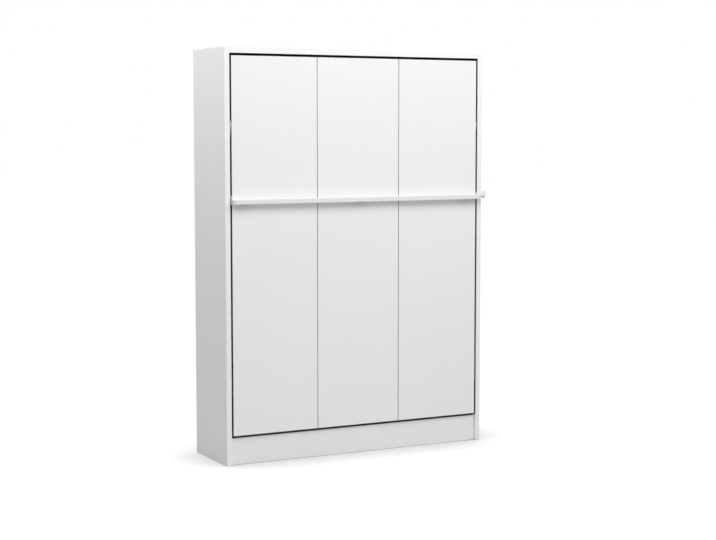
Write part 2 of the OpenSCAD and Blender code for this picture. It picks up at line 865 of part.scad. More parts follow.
side_panel(-1);  // side_panel_left
side_panel(1);  // side_panel_right
top_panel();
plinth();
base_panel();
back_rail_top();
headboard_panel();
back_rail_bottom();
corner_brackets();
bracket_screws();
floor_glides();
pivot_plate(-1);  // pivot_plate_left
pivot_plate(1);  // pivot_plate_right
pivot_pin(-1);  // pivot_pin_left
pivot_pin(1);  // pivot_pin_right
pivot_screws();
strut_plates();
strut_bolts();
stop_blocks();
stop_bumpers();
turn_button_screw();
front_panel(0);  // front_panel_left
front_panel(1);  // front_panel_centre
front_panel(2);  // front_panel_right
bed_rail(-1);  // bed_rail_left
bed_rail(1);  // bed_rail_right
head_rail();
foot_rail();
front_battens();
slat_ledger(-1);  // slat_ledger_left
slat_ledger(1);  // slat_ledger_right
centre_beam();
slats(-1);  // slats_left
slats(1);  // slats_right
slat_caps_side();
slat_caps_centre();
mattress();
mattress_straps();
hinge_plate(-1);  // hinge_plate_left
hinge_plate(1);  // hinge_plate_right
hinge_bush(-1);  // hinge_bush_left
hinge_bush(1);  // hinge_bush_right
hinge_screws();
bed_strut_plates();
bed_strut_bolts();
leg_studs();
leg_stud_caps();
leg_arm(-1);  // leg_arm_left
leg_arm(1);  // leg_arm_right
leg_crossbar();
crossbar_inserts();
leg_bushes();
leg_screws();
foot_pads();
bar_bumpers();
strut_tube(-1);  // strut_tube_left
strut_tube(1);  // strut_tube_right
strut_rod(-1);  // strut_rod_left
strut_rod(1);  // strut_rod_right
turn_button();
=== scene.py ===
import json
import math

import bmesh
import bpy
import numpy as np
from mathutils import Matrix, Vector


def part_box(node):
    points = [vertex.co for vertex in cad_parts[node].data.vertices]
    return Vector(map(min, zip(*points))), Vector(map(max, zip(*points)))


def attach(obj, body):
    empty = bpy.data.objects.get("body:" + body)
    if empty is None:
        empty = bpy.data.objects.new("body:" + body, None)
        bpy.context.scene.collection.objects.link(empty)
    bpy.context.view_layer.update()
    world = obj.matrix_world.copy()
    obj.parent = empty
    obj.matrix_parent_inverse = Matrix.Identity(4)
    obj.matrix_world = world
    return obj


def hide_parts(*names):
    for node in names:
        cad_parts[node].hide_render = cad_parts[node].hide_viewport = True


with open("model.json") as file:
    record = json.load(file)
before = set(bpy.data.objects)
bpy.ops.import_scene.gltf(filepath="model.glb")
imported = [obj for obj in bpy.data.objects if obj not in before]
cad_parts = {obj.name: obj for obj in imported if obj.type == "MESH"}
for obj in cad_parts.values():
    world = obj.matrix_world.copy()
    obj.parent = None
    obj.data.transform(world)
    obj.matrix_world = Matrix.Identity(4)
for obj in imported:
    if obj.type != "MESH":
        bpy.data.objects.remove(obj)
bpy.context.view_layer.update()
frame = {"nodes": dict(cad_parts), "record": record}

bl_info = {
    "name": "Wall bed",
    "version": (1, 0, 0),
    "blender": (4, 5, 0),
    "location": "View3D > Sidebar > Wall bed",
    "description": "Dresses the wall bed's solids with rounded edges, finishes and soft goods",
    "category": "Object",
}

MM = 0.001


# Shader maths

class Value:
    """A shader socket that takes part in Python expressions."""

    def __init__(self, maker, socket):
        self.maker, self.socket = maker, socket

    def _math(self, operation, a, b=None):
        inputs = [a] if b is None else [a, b]
        return self.maker.add("ShaderNodeMath", {"operation": operation}, *inputs)

    def __add__(self, other):
        return self._math("ADD", self, other)

    def __sub__(self, other):
        return self._math("SUBTRACT", self, other)

    def __rsub__(self, other):
        return self._math("SUBTRACT", other, self)

    def __mul__(self, other):
        return self._math("MULTIPLY", self, other)

    def absolute(self):
        return self._math("ABSOLUTE", self)

    def sine(self):
        return self._math("SINE", self)

    def waves(self, pitch):
        """A sine wave along this value, one wave in each pitch."""
        return (self * (2 * math.pi / pitch)).sine()

    def over(self, edge):
        return self._math("GREATER_THAN", self, edge)

    __radd__ = __add__
    __rmul__ = __mul__


class Finish:
    """A material under construction, with one way to add a node."""

    def __init__(self, name):
        self.material = bpy.data.materials.new(name)
        self.material.use_nodes = True
        self.tree = self.material.node_tree
        self.shader = self.tree.nodes["Principled BSDF"]
        self.output = self.tree.nodes["Material Output"]

    def add(self, kind, settings, *values, out=0, **named):
        node = self.tree.nodes.new(kind)
        for key, value in settings.items():
            setattr(node, key, value)
        for key, value in list(enumerate(values)) + list(named.items()):
            socket = node.inputs[key.replace("_", " ") if isinstance(key, str) else key]
            self.feed(socket, value)
        return Value(self, node.outputs[out])

    def feed(self, socket, value):
        if isinstance(value, Value):
            self.tree.links.new(value.socket, socket)
        elif value is not None:
            socket.default_value = value

    def noise(self, scale, detail, stretch=(1, 1, 1)):
        where = self.add("ShaderNodeTexCoord", {}, out="Object")
        where = self.add("ShaderNodeMapping", {}, Vector=where, Scale=stretch)
        return self.add("ShaderNodeTexNoise", {}, Vector=where, Scale=scale, Detail=detail)

    def axis(self, letter, out="Object"):
        where = self.add("ShaderNodeTexCoord", {}, out=out)
        return self.add("ShaderNodeSeparateXYZ", {}, where, out="XYZ".index(letter))

    def attribute(self, name):
        return self.add("ShaderNodeAttribute", {"attribute_name": name}, out="Fac")

    def blend(self, a, b, share):
        # five sockets for numbers and vectors stand before the mix node's two colours
        return self.add("ShaderNodeMix", {"data_type": "RGBA"}, share, *[None] * 5, a, b, out=2)

    def bump(self, height, strength, distance):
        return self.add("ShaderNodeBump", {}, Strength=strength, Distance=distance, Height=height)

    def surface(self, colour, roughness, metallic=0.0, normal=None, **fixed):
        self.feed(self.shader.inputs["Base Color"], colour)
        self.feed(self.shader.inputs["Roughness"], roughness)
        self.feed(self.shader.inputs["Metallic"], metallic)
        self.feed(self.shader.inputs["Normal"], normal)
        for key, value in fixed.items():
            self.shader.inputs[key.replace("_", " ")].default_value = value
        return self.material


def grey(level):
    return (level, level, level, 1)


def tint(colour, factor):
    return tuple(min(1.0, c * factor) for c in colour[:3]) + (1.0,)


# Settings

def colour_setting(name, of, default):
    return bpy.props.FloatVectorProperty(name=name, description="Colour of the " + of, size=3,
                                         default=default, subtype="COLOR", min=0.0, max=1.0)


def length_setting(name, description, default):
    return bpy.props.FloatProperty(name=name, description=description, default=default,
                                   unit="LENGTH", subtype="DISTANCE", min=0.0)


class WallBedColours(bpy.types.PropertyGroup):
    white: colour_setting("White board", "melamine-faced boards", (0.9, 0.9, 0.896))
    # The inner colour is painted shade: a dark grey on the faces in and round the cabinet's gaps,
    # where the gaps lie in shade
    inner: colour_setting("Inner board", "faces inside the cabinet", (0.16, 0.162, 0.167))
    birch: colour_setting("Birch", "slats, ledgers and beam", (0.74, 0.57, 0.36))
    coat: colour_setting("Powder coat", "leg and its bar", (0.83, 0.83, 0.826))
    zinc: colour_setting("Zinc plate", "plates, pins and screws", (0.62, 0.63, 0.64))
    black: colour_setting("Strut paint", "gas strut tubes", (0.022, 0.022, 0.024))
    dark: colour_setting("Dark plastic", "slat caps and the leg's bushes", (0.045, 0.045, 0.048))
    grey: colour_setting("Grey plastic", "bushes and glides", (0.28, 0.285, 0.29))
    rubber: colour_setting("Grey rubber", "foot pads and bumpers", (0.5, 0.5, 0.495))
    ticking: colour_setting("Ticking", "mattress cover", (0.8, 0.78, 0.735))
    piping: colour_setting("Piping", "mattress piping", (0.42, 0.43, 0.45))
    webbing: colour_setting("Webbing", "mattress straps", (0.17, 0.175, 0.185))


class WallBedSizes(bpy.types.PropertyGroup):
    board_round: length_setting("Board edge round", "Radius of the boards' edge band", 0.9 * MM)
    steel_round: length_setting("Steel edge round", "Radius on the edges of steel parts",
                                0.4 * MM)
    plastic_round: length_setting("Plastic edge round", "Radius on the moulded parts", 0.8 * MM)
    slat_camber: length_setting("Slat camber", "How far the slats' middles rise", 2.0 * MM)
    quilt_step: length_setting("Quilt step", "Distance between the mattress seams", 150 * MM)
    quilt_depth: length_setting("Quilt depth", "Depth of the mattress seams", 6 * MM)
    piping_r: length_setting("Piping radius", "Radius of the mattress piping", 3.2 * MM)
    grid_step: length_setting("Mattress grid", "Distance between the mattress mesh points",
                              10 * MM)


class WallBedStage(bpy.types.PropertyGroup):
    lens: bpy.props.FloatProperty(name="Lens", description="Focal length on a 36 mm sensor, mm",
                                  default=78.84, min=10)
    camera: bpy.props.FloatVectorProperty(name="Camera", description="Place of the camera",
                                          default=(-3.9603, -7.7672, 1.7834), size=3,
                                          subtype="TRANSLATION", unit="LENGTH")
    turn: bpy.props.FloatProperty(name="Turn", description="How far the camera looks right",
                                  default=math.radians(27.5746), unit="ROTATION")
    tilt: bpy.props.FloatProperty(name="Tilt", description="How far the camera looks down",
                                  default=math.radians(5.1368), unit="ROTATION")
    ambient: bpy.props.FloatProperty(name="Ambient", description="Light from all round",
                                     default=0.34, min=0)
    lamps: bpy.props.FloatProperty(name="Lamps", description="Share of the lamps' full power",
                                   default=1.0, min=0, max=2, subtype="FACTOR")


def sizes():
    return bpy.context.scene.wall_bed_sizes


# Finishes

# Thickness of one ply, length of one knitted loop along X, Y and Z, and of one rib and one turn
# of the herringbone of the webbing
PLY = 2.3 * MM
LOOP_X, LOOP_Y, LOOP_Z = 1.6 * MM, 1.8 * MM, 2.1 * MM
RIB, BONE = 2.4 * MM, 6 * MM


def board_finish(name, colour, inner):
    """Melamine-faced board: faint pearl grain, satin, a slightly glossier edge band, and the
    inner colour, a painted shade, on the faces that are marked as inside."""
    m = Finish(name)
    grain = m.noise(1400, 2)
    cloud = m.noise(2.2, 3)
    band = m.attribute("edge_band")
    base = m.blend(tint(colour, 0.985), tint(colour, 1.01), cloud)
    base = m.blend(base, tint(colour, 1.02), band)
    # painted shade: the dark inner colour on the faces marked as inside
    base = m.blend(base, m.blend(tint(inner, 0.94), tint(inner, 1.06), cloud),
                   m.attribute("inside"))
    return m.surface(base, 0.43 + 0.06 * grain - 0.05 * band,
                     normal=m.bump(grain, 0.12, 0.0001), Specular_IOR_Level=0.32)


def birch_finish(name, colour):
    """Birch plywood: long grain along X, with the plies as lines on the edges."""
    m = Finish(name)
    fibre = m.noise(1, 6, (9, 420, 420))
    figure = m.noise(1, 3, (1.4, 26, 26))
    plies = m.axis("Y").waves(PLY) * 0.5 + 0.5
    edge = 1 - m.axis("Y", out="Normal").absolute().over(0.7)
    base = m.blend(tint(colour, 0.86), tint(colour, 1.1), fibre * 0.55 + figure * 0.45)
    base = m.blend(base, tint(colour, 0.55), edge * plies * 0.55)
    return m.surface(base, 0.5 + 0.12 * fibre, normal=m.bump(fibre, 0.25, 0.0003))


def coat_finish(name, colour):
    """Powder-coated steel: fine orange peel."""
    m = Finish(name)
    peel = m.noise(900, 2)
    base = m.blend(tint(colour, 0.985), tint(colour, 1.0), m.noise(9, 2))
    return m.surface(base, 0.42 + 0.06 * peel, normal=m.bump(peel, 0.2, 0.0001),
                     Specular_IOR_Level=0.3)


def zinc_finish(name, colour):
    """Zinc-plated steel: bright, with a faint cloud and fine drawn lines."""
    m = Finish(name)
    lines = m.noise(1, 3, (1800, 90, 1800))
    cloud = m.noise(55, 3)
    base = m.blend(tint(colour, 0.86), tint(colour, 1.08), cloud)
    return m.surface(base, 0.26 + 0.1 * lines + 0.1 * cloud, 1.0,
                     normal=m.bump(lines, 0.08, 0.0001))


def paint_finish(name, colour):
    """Gloss paint on the strut tubes, with a faint dust."""
    m = Finish(name)
    dust = m.noise(160, 3)
    base = m.blend(tint(colour, 1.0), tint(colour, 1.7), dust)
    return m.surface(base, 0.2 + 0.12 * dust, normal=m.bump(dust, 0.05, 0.0001), Coat_Weight=0.3)


def plastic_finish(name, colour, grain=1600, rough=0.48):
    """Moulded plastic with a spark-eroded texture."""
    m = Finish(name)
    texture = m.noise(grain, 2)
    base = m.blend(tint(colour, 0.94), tint(colour, 1.06), m.noise(30, 2))
    return m.surface(base, rough + 0.1 * texture, normal=m.bump(texture, 0.2, 0.0001))


def ticking_finish(name, colour):
    """Knitted ticking: fine rows of loops, melange yarn, and painted shade in the seams."""
    m = Finish(name)
    across = m.axis("X").waves(LOOP_X)
    along = m.axis("Z").waves(LOOP_Z)
    deep = m.axis("Y").waves(LOOP_Y)
    loops = across * along * 0.3 + deep * across * 0.2 + 0.5
    yarn = m.noise(620, 4)
    seam = m.attribute("seam")
    base = m.blend(tint(colour, 0.9), tint(colour, 1.06), yarn * 0.6 + loops * 0.4)
    # painted shade: darker where the seam attribute marks the quilting seams and the lines between
    # ribs
    base = m.blend(base, tint(colour, 0.72), seam * 0.8)
    return m.surface(base, 0.82 + 0.1 * yarn, normal=m.bump(loops + yarn * 0.4, 0.35, 0.0004),
                     Sheen_Weight=0.25)


def webbing_finish(name, colour):
    """Woven webbing: ribs across the band and a herringbone along it."""
    m = Finish(name)
    ribs = m.attribute("run").waves(RIB)
    bone = (m.attribute("cross") * (2 * math.pi / BONE)
            + m.attribute("run").waves(2 * RIB) * 1.3).sine()
    weave = ribs * 0.3 + bone * 0.2 + 0.5
    base = m.blend(tint(colour, 0.75), tint(colour, 1.35), weave)
    return m.surface(base, 0.78 + 0.08 * weave, normal=m.bump(weave, 0.5, 0.0005),
                     Sheen_Weight=0.15)


FINISHES = {}


def make_finishes():
    c = bpy.context.scene.wall_bed_colours
    FINISHES.update({
        # white boards get painted shade on their inside faces; the inner boards are painted shade
        # all over
        "white_board": board_finish("white melamine", c.white, c.inner),
        "inner_board": board_finish("inner melamine", c.inner, c.inner),
        "birch": birch_finish("birch plywood", c.birch),
        "white_steel": coat_finish("white powder coat", c.coat),
        "zinc_steel": zinc_finish("zinc plate", c.zinc),
        "black_steel": paint_finish("strut paint", c.black),
        "dark_plastic": plastic_finish("dark plastic", c.dark),
        "grey_plastic": plastic_finish("grey plastic", c.grey),
        "grey_rubber": plastic_finish("grey rubber", c.rubber, 700, 0.68),
        "white_plastic": plastic_finish("white plastic", c.white, 1600, 0.36),
        "ticking": ticking_finish("knitted ticking", c.ticking),
        "piping": ticking_finish("ticking piping", c.piping),
        "webbing": webbing_finish("webbing", c.webbing),
    })


# Making pieces

SLOTS = {s["node"]: s["material_slot"] for s in frame["record"]["subparts"]}
BODY = {n: b for b, ns in frame["record"]["behaviour"]["bodies"].items() for n in ns}

# Corners nearer than this, in metres, are one corner
SAME_POINT = 1e-6
# Faces that meet at less than FLAT lie in one plane, at less than CURVED in one curved wall, and
# at more than SHARP in an edge that is rounded
FLAT, SHARP, CURVED = math.radians(0.6), math.radians(35), math.radians(40)
# Faces above this area, in square metres, are always plane
LARGEST_CURVED = 2e-3
# A board's edges shorter than this stay sharp
SHORTEST_ROUNDED = 12 * MM
# Share of a face's normal along an axis: a board's broad face, a face that looks that way, and
# one that looks at least partly that way
BROAD, FACING, PARTLY = 0.95, 0.9, 0.3


def linked(name, data):
    """A new object in the scene."""
    obj = bpy.data.objects.new(name, data)
    bpy.context.scene.collection.objects.link(obj)
    return obj


def piece(name, mesh, body, slot, *nodes, finish=None):
    """Links a mesh as a piece of the wall bed that rides on a body and stands for CAD nodes."""
    mesh.materials.clear()
    mesh.materials.append(FINISHES[finish or slot])
    obj = linked(name, mesh)
    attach(obj, body)
    if nodes:
        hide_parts(*nodes)
    return obj


def stand_in(node, ending, mesh):
    """The piece that stands for one CAD node, on the node's body and with its slot."""
    piece(node + ending, mesh, BODY[node], SLOTS[node], node)


def bare_copy(node):
    """A copy of a CAD node's mesh as bmesh, with its triangles joined at their corners."""
    bm = bmesh.new()
    bm.from_mesh(frame["nodes"][node].data)
    bmesh.ops.remove_doubles(bm, verts=bm.verts, dist=SAME_POINT)
    return bm


def clean_copy(node):
    """A copy of a CAD node's mesh as bmesh, with the triangles of each plane merged."""
    bm = bare_copy(node)
    bmesh.ops.dissolve_limit(bm, angle_limit=FLAT, verts=bm.verts, edges=bm.edges, delimit=set())
    for face in bm.faces:
        face.smooth = False
    return bm


def new_mesh(name, bm):
    """Ends bmesh as a mesh."""
    mesh = bpy.data.meshes.new(name)
    bm.to_mesh(mesh)
    bm.free()
    return mesh


def skin(name, verts, faces, **values):
    """A smooth closed mesh that faces outwards. Each of values holds a number for each point."""
    mesh = bpy.data.meshes.new(name)
    mesh.from_pydata(verts, [], faces)
    for label, numbers in values.items():
        mesh.attributes.new(label, "FLOAT", "POINT").data.foreach_set("value", numbers)
    bm = bmesh.new()
    bm.from_mesh(mesh)
    bmesh.ops.recalc_face_normals(bm, faces=bm.faces)
    for face in bm.faces:
        face.smooth = True
    bm.to_mesh(mesh)
    bm.free()
    return mesh


def loft(name, rings, closed=False, **values):
    """A skin over equal rings of points: a closed loop of rings, or a row with flat ends."""
    n, k = len(rings), len(rings[0])
    faces = [(i * k + a, (i + 1) % n * k + a, (i + 1) % n * k + (a + 1) % k, i * k + (a + 1) % k)
             for i in range(n if closed else n - 1) for a in range(k)]
    if not closed:
        faces += [tuple(range(k)), tuple(range((n - 1) * k, n * k))[::-1]]
    return skin(name, [point for ring in rings for point in ring], faces, **values)


def round_edges(bm, radius, shortest=0.0, segments=3):
    """Rounds the sharp edges that are longer than shortest. The new faces are smooth."""
    sharp = [e for e in bm.edges if len(e.link_faces) == 2 and e.calc_length() > shortest
             and e.calc_face_angle(0) > SHARP]
    if sharp:
        made = bmesh.ops.bevel(bm, geom=sharp, offset=radius, segments=segments, profile=0.5,
                               affect="EDGES", clamp_overlap=True)
        for face in made["faces"]:
            face.smooth = True


def bends(face):
    """Whether a face is part of a curved wall: it meets another plain face at a small angle."""
    return any(len(edge.link_faces) == 2 and not any(f.smooth for f in edge.link_faces)
               and FLAT < edge.calc_face_angle(0) < CURVED for edge in face.edges)


def to_mesh(bm, name):
    """Turns bmesh into a mesh: plane faces stay flat, rounded edges and curved walls shade
    smoothly."""
    curved = [face for face in bm.faces
              if not face.smooth and face.calc_area() < LARGEST_CURVED and bends(face)]
    for face in curved:
        face.smooth = True
    flags = [face.smooth for face in bm.faces]
    mesh = new_mesh(name, bm)
    if "custom_normal" in mesh.attributes:
        mesh.attributes.remove(mesh.attributes["custom_normal"])
    mesh.set_sharp_from_angle(angle=CURVED)
    mesh.polygons.foreach_set("use_smooth", flags)
    return mesh


def mark_edge_band(bm):
    """Stores which faces belong to a board's narrow edges, for the edge band's finish."""
    layer = bm.faces.layers.float.new("edge_band")
    thin = int(np.argmin(np.ptp(np.array([v.co for v in bm.verts]), axis=0)))
    for face in bm.faces:
        face[layer] = 0.0 if abs(face.normal[thin]) > BROAD else 1.0


def mark_painted_shade(bm, inside):
    """Stores which faces of a white board have the inner colour, a painted shade, by their place
    and normal.
    """
    layer = bm.faces.layers.float.new("inside")
    for face in bm.faces:
        face[layer] = 1.0 if inside(face.calc_center_median(), face.normal) else 0.0


def boards(nodes, inside=lambda place, normal: False, cut_z=None):
    """Boards with rounded edge bands, made from their CAD solids. A board whose painted shade, the
    inner colour, ends at a height has its faces divided there."""
    for node in nodes:
        bm = clean_copy(node)
        round_edges(bm, sizes().board_round, SHORTEST_ROUNDED)
        mark_edge_band(bm)
        if cut_z is not None:
            bmesh.ops.bisect_plane(bm, geom=bm.verts[:] + bm.edges[:] + bm.faces[:],
                                   plane_co=(0, 0, cut_z), plane_no=(0, 0, 1))
        mark_painted_shade(bm, inside)
        stand_in(node, "_board", to_mesh(bm, node))


def rounded(nodes, radius, segments=2):
    """Steel and plastic parts with softened edges, made from their CAD solids."""
    for node in nodes:
        bm = clean_copy(node)
        round_edges(bm, radius, segments=segments)
        stand_in(node, "_part", to_mesh(bm, node))


def solids_of(node):
    """The box of each separate solid in a CAD node, as (low corner, high corner)."""
    bm = bare_copy(node)
    seen, boxes = set(), []
    for start in bm.verts:
        if start in seen:
            continue
        stack, points = [start], []
        seen.add(start)
        while stack:
            vert = stack.pop()
            points.append(tuple(vert.co))
            joined_to = {edge.other_vert(vert) for edge in vert.link_edges} - seen
            seen |= joined_to
            stack.extend(joined_to)
        boxes.append((np.min(points, 0), np.max(points, 0)))
    bm.free()
    return boxes


# Repeats by geometry nodes

def node_tree(name, sockets):
    tree = bpy.data.node_groups.new(name, "GeometryNodeTree")
    for label, kind in sockets:
        tree.interface.new_socket(label, in_out="INPUT", socket_type=kind)
    tree.interface.new_socket("Geometry", in_out="OUTPUT", socket_type="NodeSocketGeometry")
    return tree, tree.nodes.new("NodeGroupInput"), tree.nodes.new("NodeGroupOutput")


def chain(tree, *links):
    for source, target in links:
        tree.links.new(source, target)


def finish_tree(tree, instances, material, output):
    """Ends a tree in Realize Instances and Set Material."""
    realize = tree.nodes.new("GeometryNodeRealizeInstances")
    paint = tree.nodes.new("GeometryNodeSetMaterial")
    paint.inputs["Material"].default_value = material
    chain(tree, (instances, realize.inputs[0]),
          (realize.outputs[0], paint.inputs["Geometry"]),
          (paint.outputs[0], output.inputs[0]))


def copies(tree, unit):
    """The node that puts a copy of a unit on each point."""
    info = tree.nodes.new("GeometryNodeObjectInfo")
    info.inputs["Object"].default_value = unit
    place = tree.nodes.new("GeometryNodeInstanceOnPoints")
    chain(tree, (info.outputs["Geometry"], place.inputs["Instance"]))
    return place


def row_tree(unit, material):
    """Repeats a unit in a row."""
    tree, source, output = node_tree("Row of " + unit.name, [
        ("Count", "NodeSocketInt"), ("Start", "NodeSocketVector"), ("Step", "NodeSocketVector")])
    line, place = tree.nodes.new("GeometryNodeMeshLine"), copies(tree, unit)
    chain(tree, (source.outputs["Count"], line.inputs["Count"]),
          (source.outputs["Start"], line.inputs["Start Location"]),
          (source.outputs["Step"], line.inputs["Offset"]),
          (line.outputs[0], place.inputs["Points"]))
    finish_tree(tree, place.outputs[0], material, output)
    return tree


def screw_tree(unit, material):
    """Puts a screw on each point, aimed along the point's aim, with a random turn."""
    tree, source, output = node_tree("Screws " + unit.name, [
        ("Points", "NodeSocketGeometry"), ("Size", "NodeSocketFloat"), ("Seed", "NodeSocketInt")])
    aim = tree.nodes.new("GeometryNodeInputNamedAttribute")
    aim.data_type = "FLOAT_VECTOR"
    aim.inputs["Name"].default_value = "aim"
    align = tree.nodes.new("FunctionNodeAlignRotationToVector")
    align.axis = "Z"
    place = copies(tree, unit)
    spin = tree.nodes.new("FunctionNodeRandomValue")
    spin.data_type = "FLOAT"
    spin.inputs[3].default_value = math.pi
    angles = tree.nodes.new("ShaderNodeCombineXYZ")
    euler = tree.nodes.new("FunctionNodeEulerToRotation")
    turn = tree.nodes.new("GeometryNodeRotateInstances")
    chain(tree, (aim.outputs[0], align.inputs["Vector"]),
          (source.outputs["Points"], place.inputs["Points"]),
          (align.outputs[0], place.inputs["Rotation"]),
          (source.outputs["Size"], place.inputs["Scale"]),
          (source.outputs["Seed"], spin.inputs["Seed"]),
          (spin.outputs[1], angles.inputs["Z"]), (angles.outputs[0], euler.inputs[0]),
          (place.outputs[0], turn.inputs["Instances"]), (euler.outputs[0], turn.inputs["Rotation"]))
    finish_tree(tree, turn.outputs[0], material, output)
    return tree


def grown(name, tree, values, points=None):
    """The plain mesh that a geometry nodes tree makes from named inputs."""
    mesh = bpy.data.meshes.new(name)
    if points:
        mesh.from_pydata([p for p, _ in points], [], [])
        aim = mesh.attributes.new("aim", "FLOAT_VECTOR", "POINT")
        aim.data.foreach_set("vector", [c for _, a in points for c in a])
    carrier = linked(name, mesh)
    modifier = carrier.modifiers.new("Repeat", "NODES")
    modifier.node_group = tree
    for item in tree.interface.items_tree:
        if item.item_type == "SOCKET" and item.in_out == "INPUT" and item.name in values:
            modifier[item.identifier] = values[item.name]
    result = evaluated(carrier)
    result.name = name
    bpy.data.objects.remove(carrier)
    if "aim" in result.attributes:
        result.attributes.remove(result.attributes["aim"])
    if not result.vertices:
        raise RuntimeError(name + ": the tree made nothing")
    return result


def evaluated(obj):
    """The plain mesh of an object with its modifiers."""
    bpy.context.view_layer.update()
    graph = bpy.context.evaluated_depsgraph_get()
    return bpy.data.meshes.new_from_object(obj.evaluated_get(graph))


# Screws

# Pan head: radius and height, and below the face the shank's radius, its end and the tip's
PAN_R, PAN_HIGH, SHANK_R, SHANK_END, TIP_END = 5.0 * MM, 2.5 * MM, 2.45 * MM, 11 * MM, 15.5 * MM
CROSS_SLOT = (4.6 * MM, 0.95 * MM, 3 * MM)
# Countersunk head: radius, depth and the height of its rim, then the shank and the socket
SUNK_R, SUNK_DEEP, SUNK_RIM = 7.0 * MM, 3.0 * MM, 0.15 * MM
SUNK_SHANK_R, SUNK_LONG = 4 * MM, 33 * MM
SOCKET_R, SOCKET_LONG = 2.9 * MM, 4.4 * MM
# Faces under this area, in square metres, are the curved ones of a screw
SCREW_CURVED = 1e-5
# The heads of upright bracket screws look up below this height, and down above it
CABINET_MIDDLE = 1.0


def lathe(profile, segments):
    """Turns an outline of (radius, height) points about Z, as bmesh. Its ends are on the axis."""
    bm = bmesh.new()
    angles = [2 * math.pi * i / segments for i in range(segments)]
    rings = [[bm.verts.new((r * math.cos(a), r * math.sin(a), z)) for a in (angles if r else (0,))]
             for r, z in profile]
    for low, high in zip(rings, rings[1:]):
        for i in range(segments):
            j = (i + 1) % segments
            if len(low) == 1:
                bm.faces.new((low[0], high[j], high[i]))
            elif len(high) == 1:
                bm.faces.new((low[i], low[j], high[0]))
            else:
                bm.faces.new((low[i], low[j], high[j], high[i]))
    bmesh.ops.recalc_face_normals(bm, faces=bm.faces)
    return bm


def cut(obj, cutters):
    """Cuts helper bodies out of obj, and removes them."""
    for cutter in cutters:
        modifier = obj.modifiers.new("Cut", "BOOLEAN")
        modifier.operation, modifier.solver, modifier.object = "DIFFERENCE", "EXACT", cutter
    mesh = evaluated(obj)
    obj.modifiers.clear()
    obj.data = mesh
    for cutter in cutters:
        bpy.data.objects.remove(cutter)
    for polygon in mesh.polygons:
        polygon.use_smooth = polygon.area < SCREW_CURVED
    mesh.set_sharp_from_angle(angle=SHARP)
    return obj


def pan_screw():
    """A wood screw with a domed head and a cross recess; z = 0 is the face it is driven into."""
    r, t = PAN_R, PAN_HIGH
    bm = lathe([(0, t), (0.45 * r, t * 0.98), (0.8 * r, t * 0.8), (r, t * 0.35), (r, 0),
                (SHANK_R, 0), (SHANK_R, -SHANK_END), (0, -TIP_END)], 28)
    obj = linked("pan head screw", to_mesh(bm, "pan head screw"))
    slots = []
    for turn in (0, math.pi / 2):
        slot = bmesh.new()
        bmesh.ops.create_cube(slot, size=1)
        bmesh.ops.scale(slot, vec=CROSS_SLOT, verts=slot.verts)
        bmesh.ops.rotate(slot, cent=(0, 0, 0), matrix=Matrix.Rotation(turn, 3, "Z"),
                         verts=slot.verts)
        bmesh.ops.translate(slot, vec=(0, 0, t), verts=slot.verts)
        slots.append(linked("slot", new_mesh("slot", slot)))
    return cut(obj, slots)


def sunk_screw():
    """A countersunk machine screw with a hexagon socket; z = 0 is the face it is flush with."""
    bm = lathe([(0, 0), (SUNK_R * 0.97, 0), (SUNK_R, -SUNK_RIM), (SUNK_SHANK_R, -SUNK_DEEP),
                (SUNK_SHANK_R, -SUNK_LONG), (0, -SUNK_LONG)], 36)
    obj = linked("countersunk screw", to_mesh(bm, "countersunk screw"))
    socket = bmesh.new()
    bmesh.ops.create_cone(socket, cap_ends=True, segments=6, radius1=SOCKET_R, radius2=SOCKET_R,
                          depth=SOCKET_LONG)
    return cut(obj, [linked("socket", new_mesh("socket", socket))])


# Soft goods

# The mattress: room for the border's ribs and bulge, the corners' radius, and how far the cloth
# lies inside the solid
BORDER_ROOM, CORNER_R, SKIN = 2.5 * MM, 45 * MM, 0.4 * MM
# The quilting starts this far from the rim and reaches its full depth over this width
QUILT_START, QUILT_FADE = 18 * MM, 45 * MM
# Width of a seam as a share of a diamond, how full the diamonds are (lower is fuller), the height
# of the cloth outside the quilting and the underside's share of the depth
SEAM_WIDTH, FULLNESS, PLAIN_HEIGHT, UNDERSIDE = 0.06, 0.45, 0.75, 0.35
# The seam that runs round: mesh steps from the rim, the width of its line and of its hollow, and
# how deep it is
ROUND_STEPS, ROUND_LINE, ROUND_HOLLOW, ROUND_DEPTH = 3, 4 * MM, 8 * MM, 0.5
# How far the cloth drops at the rim, and over which width
RIM_DROP, RIM_WIDTH = 7 * MM, 30 * MM
# The border: rows of faces, its bulge, the ribs' depth and the mesh points in one rib
BORDER_ROWS, BULGE, RIB_DEPTH, RIB_POINTS = 9, 2.2 * MM, 0.9 * MM, 8
# Width of the line of painted shade between two ribs and how dark it is, and from which share
# of the half width or length a point of the rim is on that side
RIB_LINE, RIB_SHADE, SIDE_FROM = 0.2, 0.5, 0.96
PIPING_IN = 2 * MM
# The straps: thickness, radius of the bends at the rims, and how far beside them the cloth rises
STRAP_THICK, STRAP_BEND, STRAP_PRESS = 1.6 * MM, 7 * MM, 25 * MM
STRAP_SHARP = math.radians(50)


def round_rect_map(x, z, half_w, half_h, r):
    """Moves grid points of a rectangle so that its corners become round."""
    ax, az = np.abs(x), np.abs(z)
    a, b = np.maximum(ax - (half_w - r), 0), np.maximum(az - (half_h - r), 0)
    length = np.hypot(a, b)
    k = np.where(length > 0, np.maximum(a, b) / np.maximum(length, 1e-9), 1.0)
    return (np.sign(x) * (np.minimum(ax, half_w - r) + a * k),
            np.sign(z) * (np.minimum(az, half_h - r) + b * k))


def smooth(t):
    t = np.clip(t, 0, 1)
    return t * t * (3 - 2 * t)


